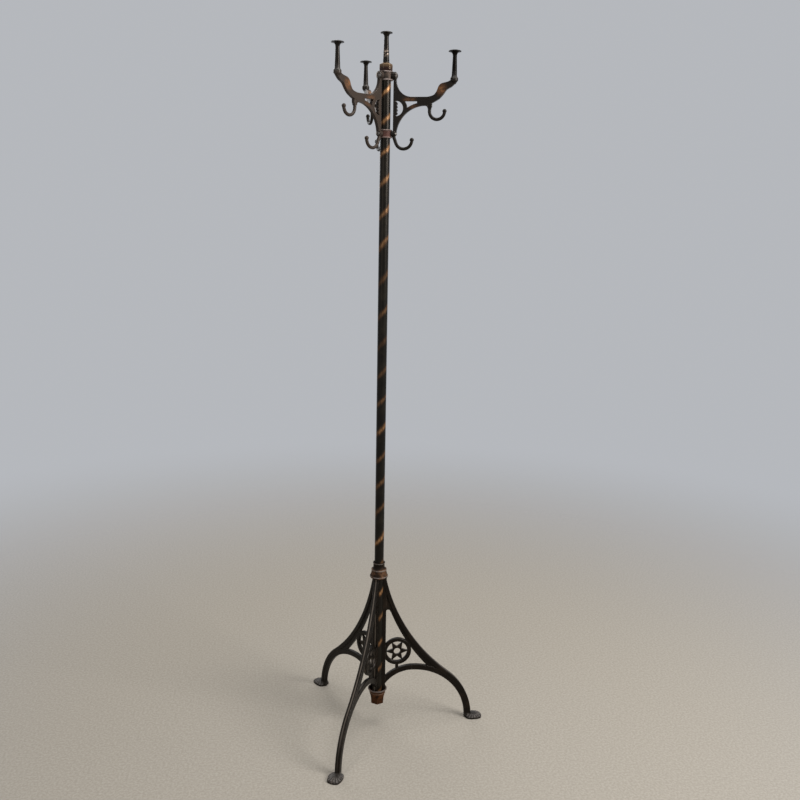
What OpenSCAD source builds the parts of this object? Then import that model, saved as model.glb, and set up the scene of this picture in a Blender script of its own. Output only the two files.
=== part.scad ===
// Standing hall tree: a tube pole on three cast legs, with a head of three cast arms that
// turns on the pole. Millimetres, +Z up, origin on the pole's axis at floor level.

/* [Pole] */
// Outside diameter of the pole tube
pole_d = 25; // [23:0.5:27]
// Wall of the pole tube
pole_wall = 2; // [1.6:0.1:2.6]
// Height of the pole's top end above the floor
pole_top = 1752; // [1500:1:1850]
// Height of the cap's underside above the floor
cap_z = 58; // [45:1:64]

/* [Legs] */
// Radius from the pole's axis to the outside of the ankles
leg_spread = 272; // [260:1:284]
// Height of the top of the legs' back bars
leg_top = 446; // [436:1:460]
// Radius of the hollow upper curve of a leg
upper_bow = 520; // [480:1:560]
// Radius of the round lower curve of a leg
lower_bow = 182; // [174:1:192]
// Width of the rim that runs along a leg
rim_w = 14; // [11:0.5:17]
// Depth of that rim, measured in the plane of the leg
rim_d = 12; // [10:0.5:15]
// Thickness of the web between the rim and the back bar
web_t = 6.5; // [5:0.5:9]
// Width of the back bar that lies on the pole
back_w = 12; // [9:0.5:14]
// Depth of the back bar, out from the pole
back_d = 8.5; // [7:0.5:10]
// Height of the crown of the arch, measured on its underside
arch_z = 161; // [150:1:168]
// Width of the arch bar
arch_w = 10; // [8:0.5:13]
// Depth of the arch bar
arch_d = 15; // [12:0.5:16]

/* [Star ring] */
// Distance of the ring's centre from the pole's axis
ring_r = 54; // [51:0.5:56]
// Height of the ring's centre
ring_z = 219.5; // [214:0.5:226]
// Outside diameter of the ring
ring_d = 80; // [74:1:86]
// Width of the ring's band
ring_w = 11; // [9:0.5:13]
// Diameter of the hole in the middle of the star
star_hole = 18.5; // [14:0.5:21]
// Thickness of the star
star_t = 5.5; // [4:0.5:8]
// Points on the star
star_points = 6; // [5:1:8]

/* [Feet] */
// Length of the shell foot, along its leg
shell_d = 48; // [44:1:52]
// Width of the shell foot, across its leg
shell_w = 38; // [34:1:42]
// Height of the shell foot
shell_h = 11; // [9:0.5:14]
// Height of the shell's edge
shell_lip = 4.5; // [3:0.5:5.5]
// Distance from the outside of the ankle out to the shell's middle
toe_out = 8; // [4:1:10]
// Number of flutes down the shell
flutes = 9; // [7:1:11]
// Width of the cutter that makes a flute
flute_d = 3.6; // [2.4:0.2:4.4]

/* [Base fittings] */
// Depth of the collar's skirt over the tops of the legs
skirt_d = 10; // [8:0.5:14]
// Outside diameter of the collar's skirt
skirt_od = 48; // [46:0.5:54]
// Height of the collar above its skirt
neck_h = 41; // [36:1:50]
// Outside diameter of the collar's middle rim
mid_rim_d = 39; // [36:0.5:42]
// Outside diameter of the collar's neck
neck_d = 31; // [29.5:0.5:34]
// Diameter of the collar's grub screw
grub_d = 5; // [4:0.5:6]
// Outside diameter of the cap's mouth
cap_d = 51; // [50:0.5:56]
// Height of the cap
cap_h = 46; // [40:1:52]
// Height of the rim round the cap's mouth
cap_rim_h = 8; // [6:0.5:11]
// Height of the six-sided boss under the cap
cap_hex_h = 13; // [8:1:18]
// Size of the cap's six-sided boss across its flats
cap_hex = 30; // [28:0.5:33]

/* [Head] */
// Turn of the head from the legs, in degrees
head_turn = -20; // [-60:1:60]
// Height of the upper collar
up_collar_h = 22; // [20:0.5:26]
// Outside diameter of the upper collar's rims
up_collar_d = 36; // [35:0.5:40]
// Diameter of the bosses that the arms' upper ends are screwed to
up_boss_d = 13; // [11:0.5:15]
// Thickness of the lip that closes the top of the upper collar
lip_t = 6; // [4:0.5:8]
// Drop from the upper to the lower arm screws
head_h = 136; // [128:1:144]
// Height of the lower collar
low_collar_h = 20; // [18:0.5:24]
// Outside diameter of the lower collar's rims
low_collar_d = 34; // [33:0.5:38]
// Diameter of the bosses that the arms' lower ends are screwed to
low_boss_d = 11; // [9:0.5:12]
// Diameter of the neck that the head turns on
neck_pin_d = 14; // [12:0.5:16]

/* [Arms] */
// Thickness of an arm
arm_t = 9; // [7:0.5:11]
// Gap between the pole and the back bar of an arm
arm_gap = 7.5; // [7:0.5:9]
// Depth of the back bar of an arm
bar_d = 6.5; // [5:0.5:8]
// Drop from the upper arm screws to the top edge of the arm
arm_drop = 49; // [46:0.5:52]
// Depth of the arm's top bar
top_bar = 10; // [8:0.5:11]
// Radius of the hollow shoulder
shoulder_r = 39.5; // [36:0.5:42]
// Radius of the brace's lower edge
brace_r = 71.5; // [69:0.5:74]
// Width of the brace
brace_w = 8.5; // [7:0.5:10]
// Radius of the half-moon opening
moon_r = 18; // [16:0.5:19]
// Number of beads on the back bar
beads = 4; // [3:1:5]
// Distance between beads
bead_pitch = 7.7; // [7:0.1:8]
// Radius from the pole's axis to the pegs
peg_reach = 168; // [160:1:180]
// Rise from the arm's top edge to the peg's seat
peg_rise = 41; // [36:1:48]

/* [Hooks] */
// Diameter of the hooks' stock
hook_d = 8; // [6.5:0.5:9]
// Diameter of the ball on a hook's tip
ball_d = 10.5; // [9.5:0.5:13]
// Radius of an upper hook, to the middle of its stock
up_hook_r = 18.5; // [16:0.5:22]
// Distance of an upper hook's centre from the pole's axis
up_hook_x = 128; // [124:0.5:132]
// Length of an upper hook's shank under the arm
up_shank = 14; // [10:0.5:20]
// Radius of a lower hook, to the middle of its stock
low_hook_r = 20.5; // [18:0.5:24]
// Length of a lower hook's shank under its screw
low_shank = 15; // [13:0.5:20]

/* [Pegs] */
// Height of a hat peg
peg_h = 67; // [55:1:85]
// Diameter of a hat peg's disc
peg_disc = 31; // [26:0.5:36]
// Diameter of a hat peg's stem under its disc
peg_stem = 10; // [8:0.5:12]
// Diameter of a hat peg's flange
peg_foot = 19; // [17:0.5:21]
// Diameter of the stud under a hat peg
peg_stud = 6; // [5:0.5:8]
// Length of that stud
stud_l = 9; // [6:0.5:11]
// Height of the centre finial
finial_h = 73; // [60:1:95]
// Diameter of the finial's disc
finial_disc = 30; // [26:0.5:36]
// Diameter of the finial's stem at its foot
finial_foot = 15; // [13:0.5:18]
// Height of the hexagon nut under the finial
nut_h = 19; // [14:0.5:24]
// Size of the nut across its flats
nut_af = 28; // [26:0.5:30]

/* [Screws] */
// Diameter of the screws' shanks
screw_d = 5; // [4:0.5:6]
// Diameter of the upper screws' heads
up_head_d = 16; // [13:0.5:17]
// Height of the upper screws' heads
up_head_h = 5; // [3:0.5:6]
// Diameter of the lower screws' heads
low_head_d = 10; // [8:0.5:11]
// Height of the lower screws' heads
low_head_h = 4; // [2.5:0.5:5]

/* [Hidden] */
$fn = 72;

// Clearances
run = 0.05;      // radial clearance of the head's running fits
turn_gap = 0.3;  // end play between the turning head and the pole
seat = 0.1;      // clearance of pieces that are fixed to each other
boss_gap = 0.3;  // gap between a collar's boss and the bottom of its seat in the arm
eps = 0.5;       // how far cutting shapes pass through what they cut

pole_r = pole_d / 2;
japan = "#2a2421";
copper = "#7a452b";

// ---- curves -------------------------------------------------------------------------------

// Where a circle of radius a round A meets one of radius b round B, on the left of A to B
function meet(A, a, B, b) =
    let (d = norm(B - A), x = (d * d + a * a - b * b) / (2 * d), h = sqrt(a * a - x * x),
         u = (B - A) / d)
    A + x * u + h * [-u.y, u.x];
function angle_of(v) = atan2(v.y, v.x);
function cat(a, b, c, d, t) =
    0.5 * (2 * b + (c - a) * t + (2 * a - 5 * b + 4 * c - d) * t * t
           + (3 * b - a - 3 * c + d) * t * t * t);
// A smooth line through the points p, with n steps between two of them
function smooth(p, n) =
    let (m = len(p) - 1)
    [for (i = [0:m - 1], j = [0:n - (i == m - 1 ? 0 : 1)])
        cat(p[max(i - 1, 0)], p[i], p[i + 1], p[min(i + 2, m)], j / n)];

// Stands a flat outline of (r, z) upright in the XZ plane, w thick
module upright(w) rotate([90, 0, 0]) linear_extrude(w, center = true) children();

// Section of a cast bar, d deep and w wide, with crowned edges
module bar_section(d, w) intersection() {
    square([d, w], center = true);
    circle(d = 1.14 * max(d, w));
}

// A bar bent round the centre c at radius r from angle a0 to a1, in the XZ plane
module bent_bar(c, r, a0, a1) translate([c.x, 0, c.y]) rotate([90, 0, 0])
    rotate([0, 0, a0]) rotate_extrude(angle = a1 - a0) translate([r, 0]) children();

// ---- legs ---------------------------------------------------------------------------------

edge_top = [pole_r + back_d, leg_top - skirt_d];       // where the leg leaves the collar
ankle_z = 4;                                           // height of the ankle's centre
low_c = [leg_spread - lower_bow, ankle_z];                   // centre of the lower curve
up_c = meet(edge_top, upper_bow, low_c, upper_bow + lower_bow);
knee = up_c + (low_c - up_c) * upper_bow / (upper_bow + lower_bow);
up_a0 = angle_of(edge_top - up_c) + 360;
up_a1 = angle_of(knee - up_c) + 360;
low_a1 = angle_of(knee - low_c);

// The rim's inner edge is an arc of its own: the leg is deeper at the knee than at the top
edge_in_top = up_c + (edge_top - up_c) * (upper_bow + 1.2 * rim_d) / upper_bow;
edge_in_knee = up_c + (knee - up_c) * (upper_bow + 2.2 * rim_d) / upper_bow;
edge_in_r = upper_bow + 1.6 * rim_d;
edge_in_c = meet(edge_in_top, edge_in_r, edge_in_knee, edge_in_r);

// The arch is two arcs that meet at its crown
arch_x = 95;
arch_run = 19;
arch_out_r = leg_spread - arch_x - arch_run;
arch_in_r = 92;
arch_out_c = [arch_x, arch_z - arch_out_r];
arch_in_c = [arch_x, arch_z - arch_in_r];
arch_mid = arch_d / 2;
slot_drop = 106;
slot_top = leg_top - slot_drop;
slot_w = 12.5;
web_drop = 40;  // how far the web runs on below the arch's crown

tab_z = cap_z + cap_h - cap_rim_h + 1;  // floor of the cap's mouth, where the legs stand
tab_out = pole_r + back_d;      // outside of the legs' ends
pocket_r = norm([tab_out, back_w / 2]) + seat;  // clears the corners of those square ends

module leg_web() difference() {
    union() {
        difference() {
            translate([pole_r + back_d / 2, arch_z - web_drop])
                square([knee.x - pole_r - back_d / 2, leg_top - skirt_d - arch_z + web_drop]);
            translate(up_c) circle(upper_bow + rim_d / 3, $fn = 180);
        }
        intersection() {
            translate(low_c) circle(lower_bow - rim_d / 3, $fn = 180);
            translate([knee.x - eps, low_c.y]) square([lower_bow, knee.y]);
        }
    }
    // under the arch
    intersection() {
        translate(arch_out_c) circle(arch_out_r + arch_d / 3, $fn = 180);
        translate([arch_x, 0]) square([2 * arch_out_r, leg_top]);
    }
    intersection() {
        translate(arch_in_c) circle(arch_in_r + arch_d / 3, $fn = 180);
        translate([0, arch_in_c.y]) square([arch_x + 0.01, leg_top]);
    }
    // the middle of the ring
    translate([ring_r, ring_z]) circle(ring_d / 2 - ring_w / 2);
    // the slot above the ring and the two gaps beside it
    difference() {
        union() {
            translate([tab_out - eps, arch_z - web_drop])
                square([knee.x - tab_out, slot_top - arch_z + web_drop]);
            translate([tab_out + slot_w / 2 - eps, slot_top]) circle(slot_w / 2 - 0.05);
        }
        translate(edge_in_c) circle(edge_in_r, $fn = 180);
        intersection() {
            translate(arch_out_c) circle(arch_out_r + arch_d * 2 / 3, $fn = 180);
            translate([arch_x, 0]) square([2 * arch_out_r, leg_top]);
        }
        intersection() {
            translate(arch_in_c) circle(arch_in_r + arch_d * 2 / 3, $fn = 180);
            translate([0, arch_in_c.y]) square([arch_x + 0.01, leg_top]);
        }
        translate([ring_r, ring_z]) circle(ring_d / 2 - ring_w / 2);
    }
}

module star() difference() {
    polygon([for (i = [0:2 * star_points - 1])
        (i % 2 == 0 ? ring_d / 2 - ring_w + 2 : star_hole / 2 + 5)
        * [cos(i * 180 / star_points), sin(i * 180 / star_points)]]);
    circle(d = star_hole);
}

// A shell: a dome on a low rim, drawn in at its sides, with flutes down from its crown
module shell_foot() translate([leg_spread + toe_out, 0, 0]) {
    rise = shell_h - shell_lip;
    dome_r = (pow(shell_d / 2, 2) + rise * rise) / (2 * rise);
    dome_z = shell_h - dome_r;
    edge_a = asin(shell_d / 2 / dome_r);
    difference() {
        intersection() {
            rotate_extrude() intersection() {
                translate([0, dome_z]) circle(dome_r, $fn = 180);
                square([shell_d / 2, shell_h + 1]);
            }
            translate([0, 0, -1]) linear_extrude(shell_h + 3) intersection_for(s = [-1, 1])
                translate([0, s * (shell_d - shell_w / 2)]) circle(shell_d, $fn = 120);
        }
        for (i = [0:flutes - 1]) rotate([0, 0, (i - (flutes - 1) / 2) * 216 / flutes])
            bent_bar([0, dome_z], dome_r + flute_d / 6, 84 - edge_a, 73)
                circle(d = flute_d, $fn = 32);
    }
}

module leg() color(japan) difference() {
    union() {
        // back bar, with its ends in the collar and in the cap
        translate([0, -back_w / 2, tab_z]) cube([tab_out, back_w, leg_top - 1 - tab_z]);
        upright(web_t) leg_web();
        // rim along the two outer curves
        bent_bar(up_c, upper_bow + rim_d / 2, up_a0, up_a1, $fn = 180) bar_section(rim_d, rim_w);
        bent_bar(low_c, lower_bow - rim_d / 2, 0, low_a1, $fn = 120)
            bar_section(rim_d, rim_w);
        // arch
        bent_bar(arch_out_c, arch_out_r + arch_mid,
                 -asin((arch_out_c.y - 2) / (arch_out_r + arch_mid)), 90, $fn = 120)
            bar_section(arch_d, arch_w);
        bent_bar(arch_in_c, arch_in_r + arch_mid, 90, 145, $fn = 120)
            bar_section(arch_d, arch_w);
        // ring, star and the post that carries the ring
        translate([ring_r, 0, ring_z]) rotate([90, 0, 0]) {
            rotate_extrude() translate([(ring_d - ring_w) / 2, 0])
                bar_section(ring_w, ring_w * 0.92);
            linear_extrude(star_t, center = true) star();
        }
        translate([ring_r - 4, -web_t / 2 + 0.25, arch_z])
            cube([8, web_t - 0.5, ring_z - ring_d / 2 - arch_z + ring_w / 2]);
        shell_foot();
    }
    translate([0, 0, tab_z - eps]) cylinder(r = pole_r + seat, h = leg_top - tab_z + 1);
}

// ---- base fittings ------------------------------------------------------------------------

collar_z = leg_top - skirt_d;
collar_top = leg_top + neck_h;
mid_z = leg_top + neck_h * 0.5;

module base_collar() color(copper) difference() {
    rotate_extrude() difference() {
        union() {
            translate([0, collar_z]) square([skirt_od / 2 - 1, skirt_d + 1]);
            translate([skirt_od / 2 - 2, leg_top + 0.5]) circle(2);
            translate([skirt_od / 2 - 1.5, collar_z + 1.5]) circle(1.5);
            // swept shoulder up to the band
            polygon([[0, leg_top], [skirt_od / 2 - 1, leg_top + 1.5],
                     [mid_rim_d / 2 + 1, leg_top + 5], [mid_rim_d / 2 - 1, leg_top + 9],
                     [mid_rim_d / 2 - 1, mid_z], [0, mid_z]]);
            translate([mid_rim_d / 2 - 2, mid_z]) circle(2);
            polygon([[0, mid_z], [mid_rim_d / 2 - 1.5, mid_z], [neck_d / 2, mid_z + 5],
                     [neck_d / 2, collar_top - 2], [0, collar_top - 2]]);
            translate([neck_d / 2 - 1, collar_top - 2]) circle(2);
        }
        // bore on the pole and the hollow skirt that holds the legs' tops
        translate([-1, collar_z - 1]) square([pole_r + seat + 1, collar_top + 10 - collar_z]);
        translate([-1, collar_z - 1]) square([pocket_r + 1, skirt_d + 1]);
    }
    // hole for the grub screw, at the back between two legs
    rotate([0, 0, 180]) translate([pole_r - 1, 0, collar_top - 9]) rotate([0, 90, 0])
        cylinder(d = grub_d, h = neck_d / 2 - pole_r + 4);
}

module collar_screw() color("dimgray") rotate([0, 0, 180])
    translate([pole_r + seat, 0, collar_top - 9]) rotate([0, 90, 0]) difference() {
        cylinder(d = grub_d - 2 * seat, h = neck_d / 2 - pole_r - seat);
        translate([-grub_d, -0.5, neck_d / 2 - pole_r - seat - 1.2])
            cube([2 * grub_d, 1, 2]);
    }

module bottom_cap() color("#6e3320") difference() {
    union() {
        // body that tapers from the rim to the six-sided boss
        translate([0, 0, cap_z + cap_hex_h - eps]) cylinder(
            r1 = cap_hex / 2 + 1.5, r2 = cap_d / 2 - 4, h = cap_h - cap_hex_h - cap_rim_h + 1);
        rotate_extrude() {
            translate([0, cap_z + cap_h - cap_rim_h]) square([cap_d / 2 - 1, cap_rim_h - 0.5]);
            translate([cap_d / 2 - 1.5, cap_z + cap_h - cap_rim_h + 1.5]) circle(1.5);
            translate([cap_d / 2 - 1.5, cap_z + cap_h - 1.5]) circle(1.5);
        }
        intersection() {
            translate([0, 0, cap_z]) cylinder(d = cap_hex / cos(30), h = cap_hex_h, $fn = 6);
            translate([0, 0, cap_z]) cylinder(
                r1 = cap_hex / 2 + 0.3, r2 = cap_hex / 2 + 3, h = cap_hex_h);
        }
    }
    // mouth for the legs' lower ends and the socket that takes the pole
    translate([0, 0, tab_z]) cylinder(r = pocket_r, h = cap_h);
    translate([0, 0, cap_z + 10]) cylinder(r = pole_r + seat, h = cap_h);
}

module pole_tube() color("#3a2a20") difference() {
    translate([0, 0, cap_z + 10]) cylinder(d = pole_d, h = pole_top - cap_z - 10);
    translate([0, 0, cap_z + 10 - eps])
        cylinder(d = pole_d - 2 * pole_wall, h = pole_top - cap_z);
}

// ---- head ---------------------------------------------------------------------------------

lip_z = pole_top + turn_gap;                     // underside of the upper collar's lip
up_top = lip_z + lip_t;
up_z = up_top - up_collar_h / 2;                 // height of the upper arm screws
low_z = up_z - head_h;                           // height of the lower arm screws
nut_z = up_top + turn_gap;
thread_d = neck_pin_d - 4;
bar_r = pole_r + arm_gap;                        // inner edge of an arm's back bar
up_face = bar_r + bar_d - 1.5;                   // face that the upper screws' heads sit on
low_face = bar_r + bar_d - 1;                    // face that the lower screws' heads sit on
arm_top = up_z - arm_drop;
seat_z = arm_top + peg_rise;                     // the pegs stand here
arm_a = [for (i = [0:2]) head_turn + i * 120];

// The plug in the top of the tube, with the neck the head turns on and the nut's thread
module pole_stud() color("#4a3528") {
    translate([0, 0, pole_top - 30]) cylinder(d = pole_d - 2 * pole_wall - 2 * seat, h = 30);
    translate([0, 0, pole_top - eps]) cylinder(d = neck_pin_d, h = nut_z - pole_top + eps);
    translate([0, 0, nut_z - eps]) cylinder(d = thread_d, h = nut_h * 0.55 + eps);
}

module rimmed(z, h, d) rotate_extrude() {
    translate([0, z]) square([d / 2 - 1.5, h]);
    translate([d / 2 - 1.5, z + 1.5]) circle(1.5);
    translate([0, z]) square([d / 2 - 1.5, 3]);
    translate([d / 2 - 1.5, z + h - 1.5]) circle(1.5);
}

module screw_holes(z) for (a = arm_a) rotate([0, 0, a]) translate([pole_r - 1, 0, z])
    rotate([0, 90, 0]) cylinder(d = screw_d, h = up_collar_d);

module upper_collar() color("#4b2f24") difference() {
    union() {
        rimmed(up_top - up_collar_h, up_collar_h, up_collar_d);
        // bosses that the arms are screwed to
        for (a = arm_a) rotate([0, 0, a]) translate([pole_r + 1, 0, up_z])
            rotate([0, 90, 0]) cylinder(d = up_boss_d, h = up_collar_d / 2 - pole_r - 1);
    }
    translate([0, 0, up_top - up_collar_h - eps])
        cylinder(r = pole_r + run, h = up_collar_h - lip_t + eps);
    translate([0, 0, lip_z - eps]) cylinder(d = neck_pin_d + 2 * run, h = lip_t + 1);
    screw_holes(up_z);
}

module lower_collar() color("#5d3325") difference() {
    union() {
        rimmed(low_z - low_collar_h / 2, low_collar_h, low_collar_d);
        for (a = arm_a) rotate([0, 0, a]) translate([pole_r + 1, 0, low_z])
            rotate([0, 90, 0]) cylinder(d = low_boss_d, h = low_collar_d / 2 - pole_r - 1);
    }
    translate([0, 0, low_z - low_collar_h / 2 - eps])
        cylinder(r = pole_r + run, h = low_collar_h + 1);
    screw_holes(low_z);
}

// The arm seen from the side: back bar, shoulder, top bar, brace and the two openings
shoulder_c = [bar_r + bar_d + shoulder_r, arm_top + shoulder_r];
brace_c = [bar_r + bar_d + 1 + brace_r, arm_top - 2 * top_bar - 0.5 - brace_r];
root_x = 104;
root_h = 21;
moon_z = arm_top - top_bar - moon_r + 1;

module arm_web() difference() {
    translate([bar_r, low_z]) square([root_x - bar_r, up_z - low_z]);
    translate(shoulder_c) circle(shoulder_r);
    translate([shoulder_c.x, arm_top]) square([root_x, shoulder_r + 1]);
    translate([bar_r + bar_d, shoulder_c.y]) square([root_x, arm_drop]);
    // below the brace
    translate(brace_c) circle(brace_r);
    translate([brace_c.x - brace_r, 0]) square([2 * brace_r, brace_c.y]);
    translate([brace_c.x, 0]) square([brace_r, brace_c.y + brace_r]);
    // half-moon opening beside the back bar
    intersection() {
        translate([bar_r + bar_d, moon_z]) circle(moon_r);
        translate([bar_r + bar_d, 0]) square([moon_r, arm_top]);
    }
    // three-cornered opening in the corner of the top bar and the brace
    difference() {
        translate([bar_r + bar_d, moon_z - moon_r])
            square([brace_c.x - 20 - bar_r - bar_d, arm_top - top_bar - moon_z + moon_r]);
        translate([bar_r + bar_d, moon_z]) circle(moon_r + 9.5);
        translate(brace_c) circle(brace_r + brace_w);
    }
}

// The double bend that carries the peg: its upper and its lower edge, given as shares of the
// way from the top bar out to the peg, and up from the top bar to the peg's seat
bend_top = [[0, -0.04], [0.12, 0], [0.25, 0.05], [0.36, 0.14], [0.44, 0.36], [0.49, 0.59],
            [0.57, 0.74], [0.68, 0.8], [0.81, 0.86], [0.9, 0.95]];
bend_low = [[1.1, 0.95], [1.06, 0.8], [0.93, 0.57], [0.77, 0.41], [0.66, 0.15], [0.53, -0.1],
            [0.4, -0.24], [0.27, -0.36], [0.12, -0.44], [0, -0.44]];
bend_x = root_x - 9;
module arm_bend() polygon([for (p = concat(smooth(bend_top, 3), smooth(bend_low, 3)))
    [bend_x + (peg_reach - bend_x) * p.x, arm_top + peg_rise * p.y]]);

module hook(x, z, r, up, lean) {
    bent_bar([x, z], r, 172 + lean, 360) circle(d = hook_d);
    translate([x - r * cos(lean), 0, z - r * sin(lean)]) rotate([0, -lean, 0])
        translate([0, 0, -1]) cylinder(d1 = hook_d + 0.3, d2 = hook_d + 0.6, h = up + 1);
    translate([x + r, 0, z + 1]) sphere(d = ball_d, $fn = 48);
}

module arm() color(japan) difference() {
    union() {
        upright(arm_t) {
            arm_web();
            arm_bend();
            // beads on the back bar
            for (i = [0:beads - 1])
                translate([bar_r + bar_d - 0.5, moon_z + (i - (beads - 1) / 2) * bead_pitch])
                    circle(d = bead_pitch + 0.6, $fn = 48);
        }
        // flare where the upper hook leaves the arm
        upright(arm_t - 1) translate([up_hook_x - up_hook_r, arm_top - root_h]) difference() {
            translate([-9, -8]) square([15, 13.5]);
            translate([-hook_d / 2 - 7, -7]) circle(7);
            translate([hook_d / 2 + 7, -7]) circle(7);
        }
        // lugs that are screwed to the collars
        translate([up_collar_d / 2 - 2, 0, up_z]) rotate([0, 90, 0])
            cylinder(d = up_head_d + 3, h = up_face - up_collar_d / 2 + 2);
        translate([low_collar_d / 2 - 2, 0, low_z]) rotate([0, 90, 0])
            cylinder(d = low_head_d + 5, h = low_face - low_collar_d / 2 + 2);
        // seat of the peg
        translate([peg_reach, 0, seat_z - 4.5]) cylinder(d = peg_foot, h = 4.5);
        translate([peg_reach, 0, seat_z - 12]) cylinder(d1 = arm_t - 2, d2 = peg_foot - 1, h = 8);
        hook(up_hook_x, arm_top - root_h - up_shank + 1, up_hook_r, up_shank + 7, 0);
        hook(bar_r + bar_d - 0.5 + low_hook_r, low_z - low_shank, low_hook_r, low_shank + 3, 20);
    }
    translate([0, 0, up_z - up_head_d]) cylinder(d = up_collar_d + 2 * seat, h = 2 * up_head_d);
    translate([0, 0, low_z - low_head_d - 5])
        cylinder(d = low_collar_d + 2 * seat, h = 2 * low_head_d + 10);
    // flat seats sunk over the collars' bosses
    translate([0, 0, up_z]) rotate([0, 90, 0])
        cylinder(d = up_boss_d + 2 * seat, h = up_collar_d / 2 + boss_gap);
    translate([0, 0, low_z]) rotate([0, 90, 0])
        cylinder(d = low_boss_d + 2 * seat, h = low_collar_d / 2 + boss_gap);
    // faces and holes for the screws
    translate([up_face, 0, up_z]) rotate([0, 90, 0]) cylinder(d = up_head_d + 1, h = 20);
    translate([low_face, 0, low_z]) rotate([0, 90, 0]) cylinder(d = low_head_d + 1, h = 12);
    translate([pole_r, 0, up_z]) rotate([0, 90, 0]) cylinder(d = screw_d, h = 20);
    translate([pole_r, 0, low_z]) rotate([0, 90, 0]) cylinder(d = screw_d, h = 20);
    // hole for the peg's stud
    translate([peg_reach, 0, seat_z - stud_l - 1]) cylinder(d = peg_stud, h = stud_l + 2);
}

// A round-headed screw that lies along a radius, its head's underside at radius face
module arm_screw(face, z, d, h) color("#3a2c26") translate([0, 0, z]) rotate([0, 90, 0]) {
    // the shank ends short of the pole
    translate([0, 0, pole_r + 0.6])
        cylinder(d = screw_d - 2 * seat, h = face - pole_r - 0.6 + eps);
    translate([0, 0, face]) difference() {
        intersection() {
            cylinder(d = d, h = h);
            translate([0, 0, h - (d * d / 4 + h * h) / (2 * h) * 1.15])
                sphere((d * d / 4 + h * h) / (2 * h) * 1.15, $fn = 96);
        }
        translate([-d, -0.6, h - 1.4]) cube([2 * d, 1.2, 2]);
    }
}

// ---- pegs ---------------------------------------------------------------------------------

// Outline of a peg: foot, tapering stem and a trumpet that opens into a thin disc
module peg_outline(h, foot, stem0, stem1, disc) difference() {
    union() {
        square([foot / 2, 2.5]);
        polygon([[0, 2], [foot / 2 - 0.5, 2.5], [stem0 / 2 + 0.4, 6], [stem0 / 2, 9],
                 [stem1 / 2, h - 17], [stem1 / 2, h - 4], [0, h - 4]]);
        // the trumpet, hollowed by a circle on each side of the stem
        difference() {
            translate([0, h - 5 - disc * 0.3]) square([disc / 2 - 0.5, disc * 0.3 + 1]);
            translate([stem1 / 2 + disc * 0.36, h - 5 - disc * 0.3])
                circle(disc * 0.36 - 0.05);
            translate([stem1 / 2 + disc * 0.36, h - 6 - disc * 0.3])
                square([disc, disc * 0.36]);
        }
        translate([0, h - 5]) square([disc / 2 - 1, 2]);
        translate([disc / 2 - 1, h - 4]) circle(1, $fn = 24);
        // the low domed top
        intersection() {
            translate([0, h - 4]) square([disc / 2 - 1, 4]);
            translate([0, h - (disc * disc / 4 + 9) / 6]) circle((disc * disc / 4 + 9) / 6, $fn = 240);
        }
    }
    translate([-disc, -1]) square([disc, h + 2]);
}

module hat_peg() color("#33302d") translate([peg_reach, 0, seat_z]) {
    rotate_extrude() peg_outline(peg_h, peg_foot, peg_stem + 3, peg_stem, peg_disc);
    translate([0, 0, -stud_l]) cylinder(d = peg_stud - 2 * seat, h = stud_l + 1);
}

nut_top = nut_z + nut_h;
module finial_nut() color("#6a5236") difference() {
    union() {
        intersection() {
            translate([0, 0, nut_z]) cylinder(d = nut_af / cos(30), h = nut_h - 5, $fn = 6);
            translate([0, 0, nut_z]) cylinder(d1 = nut_af + 2.5, d2 = nut_af + 6, h = nut_h - 5);
        }
        translate([0, 0, nut_top - 5 - eps]) cylinder(
            d1 = nut_af, d2 = finial_foot + 2, h = 5 + eps);
    }
    translate([0, 0, nut_z - eps]) cylinder(d = thread_d + 2 * seat, h = nut_h + 1);
}

module finial_peg() color("#3a2e27") translate([0, 0, nut_top]) {
    rotate_extrude() peg_outline(finial_h, finial_foot + 1, finial_foot, peg_stem + 1.5,
                                 finial_disc);
    translate([0, 0, -nut_h * 0.4]) cylinder(d = thread_d, h = nut_h * 0.4 + 1);
}

// ---- assembly -----------------------------------------------------------------------------

module on_leg(i) rotate([0, 0, i * 120]) children();
module on_arm(i) rotate([0, 0, arm_a[i]]) children();

pole_tube();
pole_stud();
base_collar();
collar_screw();
on_leg(0) leg();  // leg_1
on_leg(1) leg();  // leg_2
on_leg(2) leg();  // leg_3
bottom_cap();
upper_collar();
lower_collar();
on_arm(0) arm();  // arm_1
on_arm(1) arm();  // arm_2
on_arm(2) arm();  // arm_3
on_arm(0) hat_peg();  // hat_peg_1
on_arm(1) hat_peg();  // hat_peg_2
on_arm(2) hat_peg();  // hat_peg_3
on_arm(0) arm_screw(up_face, up_z, up_head_d, up_head_h);  // upper_screw_1
on_arm(1) arm_screw(up_face, up_z, up_head_d, up_head_h);  // upper_screw_2
on_arm(2) arm_screw(up_face, up_z, up_head_d, up_head_h);  // upper_screw_3
on_arm(0) arm_screw(low_face, low_z, low_head_d, low_head_h);  // lower_screw_1
on_arm(1) arm_screw(low_face, low_z, low_head_d, low_head_h);  // lower_screw_2
on_arm(2) arm_screw(low_face, low_z, low_head_d, low_head_h);  // lower_screw_3
finial_nut();
finial_peg();
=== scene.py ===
# A standing coat rack in japanned cast iron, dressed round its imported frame.
import math

import bmesh
import bpy
from mathutils import Matrix, Vector


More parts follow.
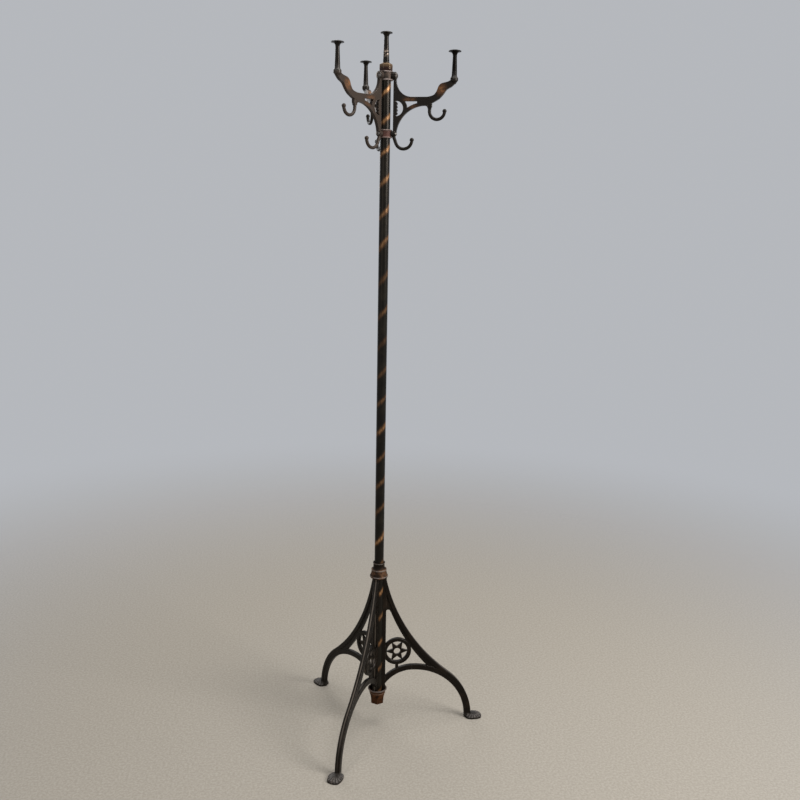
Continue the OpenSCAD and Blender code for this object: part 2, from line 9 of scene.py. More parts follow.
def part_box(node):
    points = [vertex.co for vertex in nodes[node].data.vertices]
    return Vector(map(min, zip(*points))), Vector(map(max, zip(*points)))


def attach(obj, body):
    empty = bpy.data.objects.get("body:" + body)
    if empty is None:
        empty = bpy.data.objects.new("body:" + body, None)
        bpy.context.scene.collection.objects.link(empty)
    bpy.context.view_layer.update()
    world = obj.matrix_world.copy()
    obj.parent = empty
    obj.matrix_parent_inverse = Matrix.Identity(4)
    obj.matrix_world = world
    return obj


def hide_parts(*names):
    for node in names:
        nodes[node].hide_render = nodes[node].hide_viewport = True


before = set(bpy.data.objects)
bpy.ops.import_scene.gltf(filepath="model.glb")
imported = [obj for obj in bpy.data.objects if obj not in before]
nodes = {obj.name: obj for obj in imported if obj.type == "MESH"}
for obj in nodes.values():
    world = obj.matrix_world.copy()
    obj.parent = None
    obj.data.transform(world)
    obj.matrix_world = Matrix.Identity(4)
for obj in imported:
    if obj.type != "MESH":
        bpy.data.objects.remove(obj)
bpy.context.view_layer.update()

# ---- the view ------------------------------------------------------------------------------
# A person who stands a little over two metres away, left of the rack's middle, looks slightly
# down at it, with the head a little tilted. The lens takes it in from foot to finial.
EYE = Vector((-0.3310, -2.2962, 1.4350))
HEADING, DIP, TILT = math.radians(9.411), math.radians(12.051), math.radians(1.061)
LENS, SENSOR = 40.63, 36.0


def show(thing):
    """Puts an object in the scene."""
    bpy.context.scene.collection.objects.link(thing)


ahead = Vector((math.sin(HEADING) * math.cos(DIP), math.cos(HEADING) * math.cos(DIP), -math.sin(DIP)))
level = ahead.cross(Vector((0, 0, 1))).normalized()
upright = level.cross(ahead)
# the tilt turns the head about the line of sight
side = level * math.cos(TILT) + upright * math.sin(TILT)
over = upright * math.cos(TILT) - level * math.sin(TILT)
camera = bpy.data.objects.new("viewer", bpy.data.cameras.new("viewer"))
camera.data.lens, camera.data.sensor_width = LENS, SENSOR
camera.matrix_world = Matrix((
    (side.x, over.x, -ahead.x, EYE.x), (side.y, over.y, -ahead.y, EYE.y),
    (side.z, over.z, -ahead.z, EYE.z), (0, 0, 0, 1)))
show(camera)
bpy.context.scene.camera = camera
bpy.context.scene.view_settings.view_transform = "Standard"

# ---- the pole ------------------------------------------------------------------------------
# Drawn iron tube, stove-blacked, with one stripe of copper bronze that was laid on by hand
# while the tube turned, so that it winds up the pole with a soft, uneven edge.
PITCH = 0.07699            # rise of the stripe in one turn, in metres
STRIPE_HALF = 0.112        # half its height, as a share of the pitch
EDGE_IN, EDGE_OUT = 0.060, 0.050    # how far its edge fades inwards and outwards, likewise
STRIPE_START = -2.0275     # where the winding starts, in turns
SPAN = 1.8                 # the height over which LASTED and SLIPS are given, in metres
# The hand swayed in long waves: size in turns, waves over SWAY_LENGTH, and start in radians.
# PITCH, SWAY_LENGTH and the sways are a least-squares fit to the stripe's turns.
SWAY_LENGTH = 1.55
SWAYS = ((0.119, 1, -1.5708), (0.1204, 2, -0.7266))
# How well the stripe has lasted: height as a share of SPAN, and strength
LASTED = ((0.096, 0.45), (0.142, 0.80), (0.182, 0.50), (0.219, 0.90), (0.268, 0.25), (0.302, 0.90),
          (0.359, 0.30), (0.436, 0.30), (0.478, 0.70), (0.519, 0.32), (0.608, 0.12), (0.649, 0.35),
          (0.697, 0.22), (0.749, 0.58), (0.835, 0.72), (0.950, 1.00))
# Where the hand slipped: height as a share of SPAN, and slip, from 0 to 1 with 0.5 for none.
# A measuring program made these rows, and four of the slips were then changed a little.
SLIPS = ((0.102, 0.66), (0.142, 0.50), (0.182, 0.42), (0.224, 0.62), (0.267, 0.52), (0.308, 0.69),
         (0.352, 0.32), (0.396, 0.50), (0.439, 0.59), (0.478, 0.50), (0.516, 0.24), (0.563, 0.33),
         (0.608, 0.42), (0.657, 0.50), (0.705, 0.50), (0.749, 0.34), (0.792, 0.58), (0.835, 0.50),
         (0.876, 0.65), (0.914, 0.50), (0.942, 0.65))
SLIP_RANGE = 0.4           # turns from a slip of 0 to a slip of 1
DRAWN = (1.0, 1.0, 0.16)   # the tube's grain is drawn out along it
GRAIN_DEPTH = 0.00007
BLACK, BLACK_WORN = (0.0044, 0.0042, 0.0034), (0.0120, 0.0102, 0.0070)
BRONZE_DULL, BRONZE, BRONZE_BRIGHT = (0.050, 0.026, 0.014), (0.285, 0.128, 0.048), (0.46, 0.265, 0.125)
COAT_ROUGHNESS, GLOSS_TINT = 0.18, (1.0, 0.86, 0.72)    # of the shine on every finish


class Wire:
    """The output of a shader node, which can be used in sums."""

    def __init__(self, recipe, socket):
        self.recipe, self.socket = recipe, socket

    def __add__(self, other):
        return self.recipe.maths("ADD", self, other)

    def __sub__(self, other):
        return self.recipe.maths("SUBTRACT", self, other)

    def __rsub__(self, other):
        return self.recipe.maths("SUBTRACT", other, self)

    def __mul__(self, other):
        return self.recipe.maths("MULTIPLY", self, other)

    def __truediv__(self, other):
        return self.recipe.maths("DIVIDE", self, other)

    def __pow__(self, other):
        return self.recipe.maths("POWER", self, other)

    def __abs__(self):
        return self.recipe.maths("ABSOLUTE", self)

    __radd__, __rmul__ = __add__, __mul__


class Recipe:
    """The nodes of a material or of the studio's light, which one method makes."""

    def __init__(self, owner):
        owner.use_nodes = True
        self.tree = owner.node_tree
        self.tree.nodes.clear()

    def node(self, kind, settings=None, values=None, out=0):
        """A node with its settings, then the values or links of its sockets; returns one output."""
        made = self.tree.nodes.new("ShaderNode" + kind)
        for key, setting in (settings or {}).items():
            if key == "stops":
                self.set_stops(made.color_ramp.elements, setting)
            else:
                setattr(made, key, setting)
        for key, value in (values or {}).items():
            socket = made.inputs[key]
            if isinstance(value, Wire):
                self.tree.links.new(value.socket, socket)
            elif socket.type == "RGBA":
                socket.default_value = (*value, 1.0)
            else:
                socket.default_value = value
        return Wire(self, made.outputs[out]) if made.outputs else None

    def set_stops(self, row, stops):
        """Gives a ramp its grey stops, each a place and a strength."""
        while len(row) < len(stops):
            row.new(0.5)
        for stop, (spot, strength) in zip(row, stops):
            stop.position, stop.color = spot, (strength, strength, strength, 1.0)

    def maths(self, operation, *terms):
        return self.node("Math", {"operation": operation}, dict(enumerate(terms)))


class Finish(Recipe):
    """A material that is built up in layers of colour and then closed by its surface."""

    def __init__(self, name):
        self.material = bpy.data.materials.new(name)
        super().__init__(self.material)
        self.place = self.node("TexCoord", out="Object")
        self.colour = self.rubbed_and_highlit = self.soft = None

    def split(self, vector):
        """The three parts of a vector."""
        first = self.node("SeparateXYZ", None, {0: vector})
        return [Wire(self, socket) for socket in first.socket.node.outputs]

    def height(self):
        """How far up from the floor, in metres."""
        return self.split(self.place)[2]

    def turned_back(self, turn, vector=None, kind="POINT"):
        """A vector turned back round the pole, so that x points out along a leg or an arm."""
        values = {"Vector": vector or self.place, "Rotation": (0, 0, -math.radians(turn))}
        return self.node("Mapping", {"vector_type": kind}, values)

    def noise(self, scale, detail=3.0, rough=0.55, at=None):
        values = {"Vector": at or self.place, "Scale": scale, "Detail": detail, "Roughness": rough}
        return self.node("TexNoise", None, values)

    def rise(self, value, low, high):
        """0 below low, 1 above high, and a smooth ramp between them."""
        settings = {"interpolation_type": "SMOOTHSTEP"}
        return self.node("MapRange", settings, {"Value": value, "From Min": low, "From Max": high})

    def ramp(self, value, stops):
        """A strength read off a row of stops."""
        return self.node("ValToRGB", {"stops": stops}, {0: value})

    def mix(self, share, first, second):
        """One colour where share is 0 and another where it is 1."""
        return self.node("Mix", {"data_type": "RGBA"}, {0: share, 6: first, 7: second}, out=2)

    def lay(self, share, colour):
        """Lays a colour over the finish, as far as share says."""
        self.colour = self.mix(share, self.colour, colour)

    def find_edges(self, radius):
        """Rounds the edges off in the finish, and returns how sharply the surface turns there."""
        self.soft = self.node("Bevel", {"samples": 6}, {"Radius": radius})
        true = self.node("NewGeometry", out="Normal")
        same = self.node("VectorMath", {"operation": "DOT_PRODUCT"}, {0: self.soft, 1: true}, out="Value")
        return self.rise(1 - same, 0.015, 0.16)

    def surface(self, rough, metal, relief, depth, coat=0.0, shine=0.4, clear=None):
        """Closes the finish: relief stands up to depth metres, and clear is where it is see-through."""
        values = {"Height": relief, "Distance": depth, "Strength": 1.0}
        if self.soft:
            values["Normal"] = self.soft
        skin = self.node("BsdfPrincipled", None, {
            "Base Color": self.colour, "Roughness": rough, "Metallic": metal,
            "Normal": self.node("Bump", None, values), "Coat Weight": coat,
            "Coat Roughness": COAT_ROUGHNESS, "Specular IOR Level": shine,
            "Specular Tint": GLOSS_TINT})
        if clear:
            skin = self.node("MixShader", None, {0: clear, 1: skin, 2: self.node("BsdfTransparent")})
        self.node("OutputMaterial", None, {"Surface": skin})


def wear(node, finish):
    """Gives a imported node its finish."""
    nodes[node].material_slots[0].material = finish.material


paint = Finish("striped pole")
x, y, z = paint.split(paint.place)
winding = z / PITCH - paint.maths("ARCTAN2", y, x) / math.tau + STRIPE_START
winding = winding + (paint.ramp(z / SPAN, SLIPS) - 0.5) * SLIP_RANGE
for size, waves, start in SWAYS:
    winding = winding + paint.maths("SINE", z * (math.tau * waves / SWAY_LENGTH) + start) * size
# the edge is ragged, in broad waves and along the grain
grain = paint.node("VectorMath", {"operation": "MULTIPLY"}, {0: paint.place, 1: DRAWN})
winding = winding + (paint.noise(38) - 0.5) * 0.12 + (paint.noise(240, 4, 0.7, grain) - 0.5) * 0.22
# how far off the middle of the stripe a point is, as a share of the pitch
off = abs(paint.maths("FRACT", winding) - 0.5)
streaks = paint.rise(paint.noise(300, 5, 0.7, grain), 0.34, 0.64)
lasted = paint.ramp(z / SPAN, LASTED)
stripe = 1 - paint.rise(off, STRIPE_HALF - EDGE_IN, STRIPE_HALF + EDGE_OUT)
stripe = stripe * (streaks * 0.5 + 0.5) * (lasted * 0.45 + 0.55)
# the bronze is thickest along the middle of the stripe
thick = 1 - paint.rise(off + (paint.noise(160, 3, 0.6, grain) - 0.5) * 0.07, 0.010, STRIPE_HALF - 0.012)
bronze = paint.mix(lasted * (thick * 0.8 + 0.2), BRONZE_DULL, BRONZE)
bronze = paint.mix(streaks * thick * lasted * 0.6, bronze, BRONZE_BRIGHT)
paint.colour = paint.mix(paint.rise(paint.noise(26, 5, 0.65), 0.42, 0.72), BLACK, BLACK_WORN)
paint.lay(stripe, bronze)
paint.surface(paint.noise(60, 4) * 0.14 + 0.24, stripe * 0.4, paint.noise(420, 3, 0.55, grain),
              GRAIN_DEPTH, shine=0.18)
wear("pole_tube", paint)

# ---- the legs ------------------------------------------------------------------------------
# Three iron castings, each with a crowned rim down its two curves, an arch, a pierced star in
# a ring and a shell foot. Black-brown japan, rubbed to the iron along the middle of the rim,
# where a highlight is painted too.
LEG_TURNS = (0, 120, 240)
SHELL_RADIUS = 0.024
SHELL_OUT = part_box("leg_1")[1][0] - SHELL_RADIUS    # the shell's middle, out from the pole
FLUTE_STEP = 24            # degrees from one rib of the shell to the next
# Each pair of lengths is where something starts to change and where it has changed, in metres
RIBS_FROM = (0.006, 0.012)          # the ribs begin, out from the shell's middle
RIBS_TO = (SHELL_RADIUS - 0.0025, SHELL_RADIUS - 0.0005)    # and end
ANKLE_OUT = (SHELL_OUT - 0.035, SHELL_OUT - 0.018)          # the shell is rubbed beyond its ankle,
SHELL_EDGE_UP, ANKLE_UP = (0.002, 0.007), (0.010, 0.016)    # between its edge and the ankle's foot
CROWN_HALF = (0.0006, 0.0026)       # half the width of the line that is rubbed and painted as a highlight along the crown
CROWN_LOW = (0.05, 0.17)            # the line is fainter below these heights
CROWN_SWAY = 0.002                  # and wanders this far in all
# The last colour is the rubbed iron of edges and crowns, painted light enough to serve as their highlight
# too
JAPAN, UMBER, SPECK, RUBBED_AND_HIGHLIT = ((0.0042, 0.0032, 0.0023), (0.0170, 0.0112, 0.0070),
                               (0.060, 0.048, 0.038), (0.175, 0.145, 0.118))
SHELL_GREY = (0.155, 0.140, 0.128)
CAST_DEPTH = 0.00013                # how deep the casting's grain is


def japanned(name, brown=0.35, rub=0.6, edge=0.0011):
    """Starts a finish of stoved black-brown lacquer on cast iron, rubbed to the iron on its edges, which
    are also painted lighter as a highlight.

    brown is how much of it has gone brown, rub how worn and how highlit the edges are and edge how wide.
    """
    iron = Finish(name)
    edges = iron.find_edges(edge)
    bloom = iron.rise(iron.noise(24, 5, 0.62), 0.62 - 0.3 * brown, 0.80 - 0.1 * brown)
    iron.colour = iron.mix(bloom, JAPAN, UMBER)
    iron.lay(iron.rise(iron.noise(620, 2, 0.6), 0.60, 0.74) * 0.14, SPECK)
    # edges are rubbed and also painted lighter, as a painted highlight
    iron.rubbed_and_highlit = edges * iron.rise(iron.noise(150, 4, 0.65), 0.36, 0.62) * rub
    return iron


def lacquer(iron, copper=None, coarse=1.0, steel=0.0, shine=0.17):
    """Lays the rubbed metal and the painted edge highlight over the lacquer and closes the finish.

    copper is where bronze lies, coarse scales the iron's grain and steel makes it more metallic.
    """
    iron.lay(iron.rubbed_and_highlit, RUBBED_AND_HIGHLIT)
    metal = iron.rubbed_and_highlit * 0.6 + steel
    if copper:
        metal = metal + copper * 0.3
    relief = iron.noise(330, 4, 0.6) + iron.noise(1400, 2) * 0.35
    rough = iron.noise(70, 4) * 0.20 + 0.19 + 0.09 * coarse
    iron.surface(rough, metal, relief, CAST_DEPTH * coarse, coat=0.06, shine=shine)


for leg, leg_turn in enumerate(LEG_TURNS, 1):
    iron = japanned(f"japanned leg {leg}", brown=0.45)
    out, across, up = iron.split(iron.turned_back(leg_turn))
    # the crown of the rim is rubbed, and painted lighter as a highlight where it faces out or up, less so
    # toward the foot
    crown_wear_and_highlight = 1 - iron.rise(abs(across + (iron.noise(30) - 0.5) * CROWN_SWAY), *CROWN_HALF)
    crown_wear_and_highlight = crown_wear_and_highlight * (iron.rise(up, *CROWN_LOW) * 0.75 + 0.25)
    facing = iron.turned_back(leg_turn, iron.node("NewGeometry", out="Normal"), "NORMAL")
    faces_out, _, faces_up = iron.split(facing)
    rim = iron.rise(faces_out + faces_up * 0.5, 0.45, 0.85)
    iron.rubbed_and_highlit = iron.rubbed_and_highlit + crown_wear_and_highlight * rim * iron.rise(iron.noise(24, 4, 0.6), 0.15, 0.52) * 0.70
    # the top of the shell is rubbed along its ribs
    shell = iron.rise(out, *ANKLE_OUT) * iron.rise(up, *SHELL_EDGE_UP)
    shell = shell * (1 - iron.rise(up, *ANKLE_UP))
    fan = iron.maths("ARCTAN2", across, out - SHELL_OUT)
    rib = iron.maths("COSINE", fan * (360 / FLUTE_STEP)) * -0.5 + 0.5
    far = ((out - SHELL_OUT) ** 2 + across ** 2) ** 0.5
    rib = rib * iron.rise(far, *RIBS_FROM) * (1 - iron.rise(far, *RIBS_TO))
    shell = shell * (rib * 0.75 + 0.25) * iron.rise(iron.noise(300, 3, 0.7), 0.30, 0.60)
    iron.lay(shell * 0.85, SHELL_GREY)
    lacquer(iron, shine=0.13)
    wear(f"leg_{leg}", iron)

# ---- the base fittings ---------------------------------------------------------------------
# The collar that holds the legs' tops and the cap that holds their lower ends: turned castings
# in oxidised copper, with pale rims. The cap has gone rusty red.
TURNING_STEPS = 96
SIXTH = math.tau / 6
SHARP = math.radians(32)   # edges that turn further than this stay crisp
PLATE_DEPTH = 0.0002       # how deep the plate's pits are


def coppered(name, low, high, dark, red, pale, rub=0.9, edge=0.0013):
    """Starts oxidised copper plate: dark, reddish where a pattern passes low to high, pale on edges,
    which are rubbed and painted lighter as a highlight.
    """
    plate = Finish(name)
    edges = plate.find_edges(edge)
    plate.colour = plate.mix(plate.rise(plate.noise(55, 5, 0.62), low, high), dark, red)
    plate.lay(plate.rise(plate.noise(210, 3, 0.7), 0.58, 0.76) * 0.5, JAPAN)
    # edges are rubbed and also painted pale, as a painted highlight
    plate.rubbed_and_highlit = edges * plate.rise(plate.noise(110, 4, 0.6), 0.30, 0.56) * rub
    plate.lay(plate.rubbed_and_highlit, pale)
    return plate


def pale_rim_lines(plate, rims, pale, patches=120, gap=0.28, strength=0.8):
    """Lays pale lines along rims in patches: rims are heights with a full and a faded-out half width."""
    height = plate.height()
    for rim, core, edge in rims:
        line = 1 - plate.rise(abs(height - rim), core, edge)
        plate.lay(line * plate.rise(plate.noise(patches, 4, 0.6), gap, 0.58) * strength, pale)


def plated(plate, dull=0.42, metal=0.30):
    """Closes a coppered finish."""
    plate.surface(plate.noise(80, 4) * 0.26 + dull, plate.rubbed_and_highlit * 0.3 + metal, plate.noise(300, 4, 0.6),
                  PLATE_DEPTH, shine=0.12)


def turned(name, finish, profile, flat_turn=0.0):
    """A piece of the stand, turned from a profile of (height, radius, share of six-sidedness).

    Heights and radii are in millimetres. One of the six flats faces along flat_turn.
    """
    shape = bmesh.new()
    flatness = shape.verts.layers.float.new("flatness")
    chain = [shape.verts.new((radius / 1000, 0, high / 1000)) for high, radius, _ in profile]
    for corner, (_, _, flat) in zip(chain, profile):
        corner[flatness] = flat
    wires = [shape.edges.new(pair) for pair in zip(chain, chain[1:])]
    bmesh.ops.spin(shape, geom=chain + wires, cent=(0, 0, 0), axis=(0, 0, 1), angle=math.tau,
                   steps=TURNING_STEPS, use_merge=True)
    bmesh.ops.remove_doubles(shape, verts=shape.verts, dist=1e-6)
    for corner in shape.verts:
        flat = corner[flatness]
        if flat:
            past = math.atan2(corner.co.y, corner.co.x) - flat_turn + SIXTH / 2
            past = past % SIXTH - SIXTH / 2
            narrow = 1 - flat + flat * math.cos(SIXTH / 2) / math.cos(past)
            bmesh.ops.scale(shape, verts=[corner], vec=(narrow, narrow, 1))
    shape.verts.layers.float.remove(flatness)
    bmesh.ops.recalc_face_normals(shape, faces=shape.faces)
    mesh = bpy.data.meshes.new(name)
    shape.to_mesh(mesh)
    shape.free()
    mesh.shade_smooth()
    mesh.set_sharp_from_angle(angle=SHARP)
    mesh.materials.append(finish.material)
    piece = bpy.data.objects.new(name, mesh)
    show(piece)
    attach(piece, "stand")
    return piece


# The collar: a thin rim at its mouth, a middle rim and a broad one where the legs' tops go in
COLLAR = ((444.0, 22.3), (444.0, 23.3), (444.8, 24.1), (446.3, 24.6), (448.3, 24.7), (449.6, 24.2),
          (450.4, 23.2), (452.0, 22.6), (456.0, 21.5), (460.0, 20.6), (463.0, 20.1), (464.2, 20.3),
          (465.2, 20.9), (466.6, 21.0), (467.8, 20.7), (468.4, 19.9), (469.4, 18.0), (471.2, 16.2),
          (474.0, 15.3), (479.0, 15.0), (482.4, 15.2), (483.8, 16.0), (484.8, 16.6), (486.0, 16.7),
          (486.9, 16.2), (487.1, 15.3), (486.9, 13.4), (485.6, 12.6), (446.4, 12.6), (446.4, 22.1),
          (444.0, 22.3))
COLLAR_RIMS = ((0.4485, 0.0008, 0.0016), (0.4664, 0.00105, 0.0021), (0.4853, 0.00065, 0.0013))
COLLAR_NECK = (0.4680, 0.4705)     # above these heights its plate is black
plate = coppered("coppered base collar", 0.40, 0.64, dark=(0.015, 0.009, 0.006),
                 red=(0.125, 0.062, 0.032), pale=(0.22, 0.180, 0.150))
plate.lay(plate.rise(plate.height(), *COLLAR_NECK) * 0.9, (0.0085, 0.0062, 0.0045))
pale_rim_lines(plate, COLLAR_RIMS, (0.215, 0.182, 0.160), patches=130, gap=0.26, strength=0.85)
plated(plate)
collar = turned("base_collar_casting", plate,
                [(high, radius, 0.0) for high, radius in COLLAR])
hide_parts("base_collar")

# The cap: a thin rolled rim, a body that draws in below it and a six-sided boss for a spanner
CAP = ((67.2, 0.0, 0.0), (67.2, 16.6, 1.0), (67.8, 18.4, 1.0), (69.6, 19.2, 1.0), (76.5, 19.6, 1.0),
       (82.0, 19.9, 0.85), (86.0, 20.0, 0.5), (90.0, 20.2, 0.2), (95.0, 21.0, 0.0), (101.0, 22.2, 0.0),
       (105.4, 23.4, 0.0), (106.6, 24.6, 0.0), (107.8, 25.8, 0.0), (109.4, 26.5, 0.0),
       (110.8, 26.2, 0.0), (111.6, 25.2, 0.0), (111.4, 23.9, 0.0), (110.4, 22.9, 0.0),
       (104.0, 22.3, 0.0), (96.9, 22.0, 0.0), (96.8, 21.0, 0.0), (96.8, 12.6, 0.0), (67.9, 12.6, 0.0),
       (67.9, 0.0, 0.0))
CAP_FLAT_TURN = math.radians(52.5)    # so that a corner of the boss faces the viewer
CAP_MOUTH = (0.1066, 0.1086)          # above these heights it is grey
plate = coppered("rusted cap", 0.34, 0.64, dark=(0.010, 0.0048, 0.0028), red=(0.085, 0.030, 0.010),
                 pale=(0.19, 0.115, 0.080))
plate.lay(plate.rise(plate.height(), *CAP_MOUTH) * 0.75, (0.125, 0.105, 0.096))
plated(plate, dull=0.46)
cap = turned("bottom_cap_casting", plate, CAP, CAP_FLAT_TURN)
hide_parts("bottom_cap")

# The set screw in the collar and the stud in the pole's top: turned steel, dull with age
STEEL_DEPTH = 0.00008
steel = Finish("old steel")
steel.colour = steel.mix(steel.rise(steel.noise(90, 4), 0.4, 0.7), (0.05, 0.042, 0.036),
                         (0.15, 0.13, 0.115))
steel.surface(steel.noise(120) * 0.2 + 0.38, steel.rise(steel.noise(40), 0.1, 0.5) * 0.5 + 0.4,
              steel.noise(500), STEEL_DEPTH)
for name in ("collar_screw", "pole_stud"):
    wear(name, steel)

# ---- the head ------------------------------------------------------------------------------
# Two loose collars on the pole, with three cast arms screwed to both. The collars are coppered,
# and the arms are japanned, with copper bronze wiped over their bends and edges.
ARM_TURNS = (-20, 100, 220)
LIT_ARM, PAINTED_LIT_BROWN = 3, (0.070, 0.051, 0.041)    # painted light: one arm is painted lighter and browner all over, as if lit more than the others
# copper wiped on an arm: (out from the pole, height, half length, half height, strength)
WIPES = ((0.136, 1.716, 0.017, 0.019, 1.0), (0.060, 1.692, 0.021, 0.008, 0.8),
         (0.070, 1.675, 0.018, 0.009, 0.7), (0.047, 1.640, 0.012, 0.016, 0.35))
WIPE_THIN, WIPE_THICK = (0.046, 0.025, 0.014), (0.235, 0.104, 0.042)
RIM_IN = 0.0007            # from a collar's end to the middle of its rim


def collar_rims(name, core, edge):
    """The rims at both ends of a loose collar, for pale_rim_lines."""
    low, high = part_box(name)
    return ((low[2] + RIM_IN, core, edge), (high[2] - RIM_IN, core, edge))


plate = coppered("coppered upper collar", 0.42, 0.70, dark=(0.030, 0.026, 0.022),
                 red=(0.085, 0.058, 0.046), pale=(0.33, 0.27, 0.245))
pale_rim_lines(plate, collar_rims("upper_collar", 0.0012, 0.0030), (0.33, 0.27, 0.245))
plated(plate, dull=0.36)
wear("upper_collar", plate)
plate = coppered("coppered lower collar", 0.36, 0.62, dark=(0.038, 0.021, 0.018),
                 red=(0.098, 0.046, 0.037), pale=(0.27, 0.205, 0.18))
pale_rim_lines(plate, collar_rims("lower_collar", 0.0010, 0.0024), (0.27, 0.21, 0.185))
plated(plate, dull=0.36)
wear("lower_collar", plate)

for arm, arm_turn in enumerate(ARM_TURNS, 1):
    painted_lit = arm == LIT_ARM
    # painted light: the lit arm gets more brown bloom and a lighter brown layer over its japan
    iron = japanned(f"japanned arm {arm}", brown=1.3 if painted_lit else 0.35, rub=0.7)
    if painted_lit:
        iron.lay(0.45, PAINTED_LIT_BROWN)
    out, _, up = iron.split(iron.turned_back(arm_turn))
    fray = (iron.noise(110, 4, 0.65) - 0.5) * 1.1
    copper = 0.0
    for wipe_out, wipe_up, long, tall, strength in WIPES:
        far = ((out - wipe_out) / long) ** 2 + ((up - wipe_up) / tall) ** 2 + fray
        copper = iron.maths("MAXIMUM", copper, (1 - iron.rise(far, -0.25, 1.40)) * strength)
    copper = copper * (iron.rise(iron.noise(150, 5, 0.7), 0.30, 0.60) * 0.5 + 0.5)
    iron.lay(copper, iron.mix(copper ** 2, WIPE_THIN, WIPE_THICK))
    lacquer(iron, copper)
    wear(f"arm_{arm}", iron)

# ---- pegs, screws, nut and finial ----------------------------------------------------------
# Turned pegs with flat discs for hats, slotted screws, and the nut and finial that close the top.
# The pegs are greyer at the foot, the screws are blackened and the finial has a flaked ring.
ARMS = range(1, len(ARM_TURNS) + 1)
PEG_SHINE = (0.03, 0.14, 0.17)        # how glossy each peg still is
PEG_FOOT, PEG_FADE = 0.008, 0.022     # how far up a peg its grey foot reaches, and how far it fades
FLAKE_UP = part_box("finial_peg")[0][2] + 0.032    # the flaked ring, above the nut
for arm, shine in zip(ARMS, PEG_SHINE):
    iron = japanned(f"japanned peg {arm}", brown=0.1, rub=0.5, edge=0.0008)
    foot_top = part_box(f"hat_peg_{arm}")[0][2] + PEG_FOOT
    foot = (1 - iron.rise(iron.height(), foot_top, foot_top + PEG_FADE)) * 0.55
    iron.lay(foot * iron.rise(iron.noise(180, 4, 0.6), 0.3, 0.6), (0.12, 0.112, 0.104))
    lacquer(iron, coarse=0.18, shine=shine)
    wear(f"hat_peg_{arm}", iron)

screw = japanned("blackened screws", brown=0.5, rub=1.1)
screw.lay(screw.rise(screw.noise(140, 4), 0.30, 0.62), (0.150, 0.135, 0.122))
lacquer(screw, coarse=0.3, steel=0.55)
for arm in ARMS:
    wear(f"upper_screw_{arm}", screw)
    wear(f"lower_screw_{arm}", screw)

iron = japanned("japanned finial", brown=0.3, rub=0.5, edge=0.0008)
flake = 1 - iron.rise(abs(iron.height() - FLAKE_UP + (iron.noise(130, 4) - 0.5) * 0.012), 0.002, 0.012)
flake = flake * iron.rise(iron.noise(260, 4, 0.7), 0.50, 0.60)
iron.lay(flake, (0.42, 0.32, 0.25))
lacquer(iron, flake, coarse=0.22)
wear("finial_peg", iron)

# The nut: six brass flats with lightly broken corners and a short cone up to the finial
NUT = ((1758.7, 8.4, 0.0), (1758.7, 14.0, 0.4), (1759.6, 15.6, 1.0), (1760.6, 16.0, 1.0),
       (1773.0, 16.0, 1.0), (1774.2, 15.6, 0.95), (1775.0, 14.2, 0.35), (1775.5, 12.6, 0.0),
       (1777.2, 9.6, 0.0), (1777.6, 8.4, 0.0), (1758.7, 8.4, 0.0))
NUT_FLAT_TURN = math.radians(26.25)
NUT_BRASSY = (1.7640, 1.7735)    # brown below these heights and brassy above them
plate = coppered("bronzed nut", 0.36, 0.66, dark=(0.026, 0.013, 0.012), red=(0.072, 0.038, 0.026),
                 pale=(0.50, 0.38, 0.25), rub=1.0, edge=0.0018)
brassy = plate.rise(plate.height() + (plate.noise(90, 3) - 0.5) * 0.006, *NUT_BRASSY)
plate.lay(brassy * 0.65, (0.215, 0.138, 0.074))
# painted highlight: the corners and edges are laid paler a second time, so the flats read apart
plate.lay(plate.rubbed_and_highlit * 0.6, (0.46, 0.36, 0.25))
plated(plate, dull=0.16, metal=0.55)
nut = turned("finial_nut_brass", plate, NUT, NUT_FLAT_TURN)
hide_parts("finial_nut")

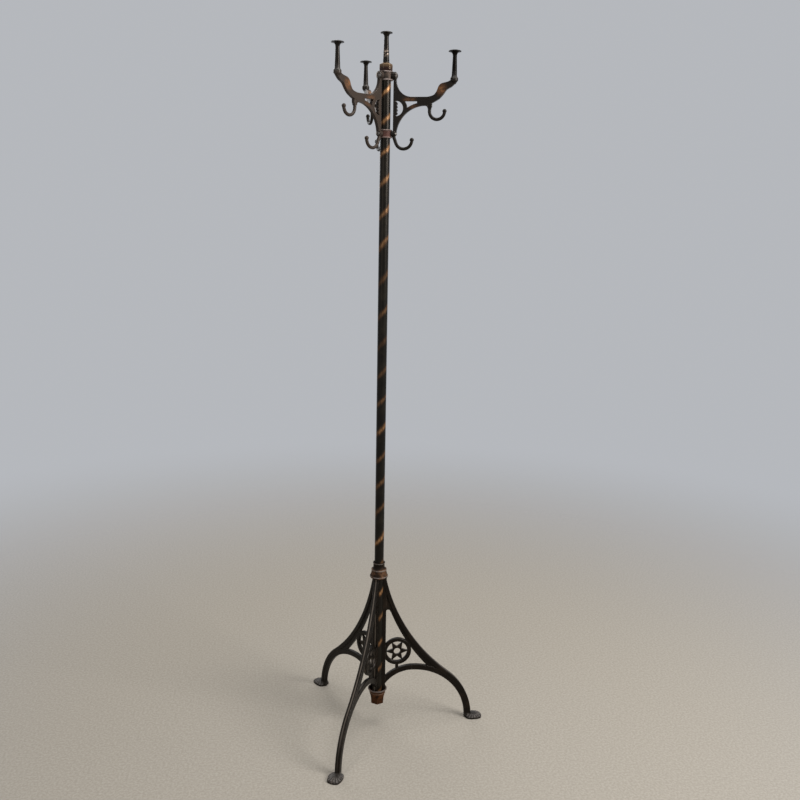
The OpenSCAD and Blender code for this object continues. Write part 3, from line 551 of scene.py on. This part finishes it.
# ---- the studio ----------------------------------------------------------------------------
# A pale floor that runs out into a pale backdrop and can't be seen from below, a broad lamp from
# the right, one from above, a weak one on the left and one behind, and a dim light all round.
BACKDROP, ALL_ROUND = (0.465, 0.480, 0.508), (0.22, 0.222, 0.225)
FLOOR, FLOOR_GRIT = (0.405, 0.369, 0.315), (0.324, 0.293, 0.248)
FLOOR_RADIUS, FLOOR_FADE, FLOOR_DEPTH = 6.0, (0.7, 3.2), 0.0006
disc = bmesh.new()
bmesh.ops.create_circle(disc, cap_ends=True, segments=64, radius=FLOOR_RADIUS)
mesh = bpy.data.meshes.new("floor")
disc.to_mesh(mesh)
disc.free()
floor = bpy.data.objects.new("floor", mesh)
show(floor)
ground = Finish("pale floor")
ground.colour = ground.mix(ground.rise(ground.noise(160, 4, 0.7), 0.35, 0.68), FLOOR_GRIT, FLOOR)
away = ground.node("VectorMath", {"operation": "LENGTH"}, {0: ground.place}, out="Value")
beneath = ground.node("NewGeometry", out="Backfacing")
ground.surface(ground.noise(3) * 0.1 + 0.8, 0.0, ground.noise(240, 4), FLOOR_DEPTH,
               clear=ground.maths("MAXIMUM", beneath, ground.rise(away, *FLOOR_FADE)))
mesh.materials.append(ground.material)

# The camera, glass and gloss see the backdrop, and all other rays meet the dimmer light
world = bpy.data.worlds.new("studio")
bpy.context.scene.world = world
studio = Recipe(world)
seen = studio.node("LightPath", out="Is Camera Ray")
for ray in ("Is Transmission Ray", "Is Glossy Ray"):
    seen = studio.maths("MAXIMUM", seen, studio.node("LightPath", out=ray))
dim, backdrop = (studio.node("Background", None, {"Color": colour}) for colour in (ALL_ROUND, BACKDROP))
both = studio.node("MixShader", None, {0: seen, 1: dim, 2: backdrop})
studio.node("OutputWorld", None, {"Surface": both})

# Each lamp: name, place, the height on the pole that it faces, size and watts
LAMPS = (("key", (2.6, -2.1, 2.4), 1.0, 1.8, 118),
         ("top", (0.5, -0.3, 4.2), 0.9, 2.4, 92),
         ("fill", (-2.6, -2.6, 1.8), 0.9, 2.0, 14),
         ("rear", (-0.9, 2.9, 2.5), 1.1, 2.0, 26))
for name, spot, faces, size, watts in LAMPS:
    lamp = bpy.data.objects.new(name, bpy.data.lights.new(name, "AREA"))
    lamp.data.size, lamp.data.energy = size, watts
    lamp.location = spot
    lamp.rotation_euler = (Vector((0, 0, faces)) - Vector(spot)).to_track_quat("-Z", "Y").to_euler()
    show(lamp)
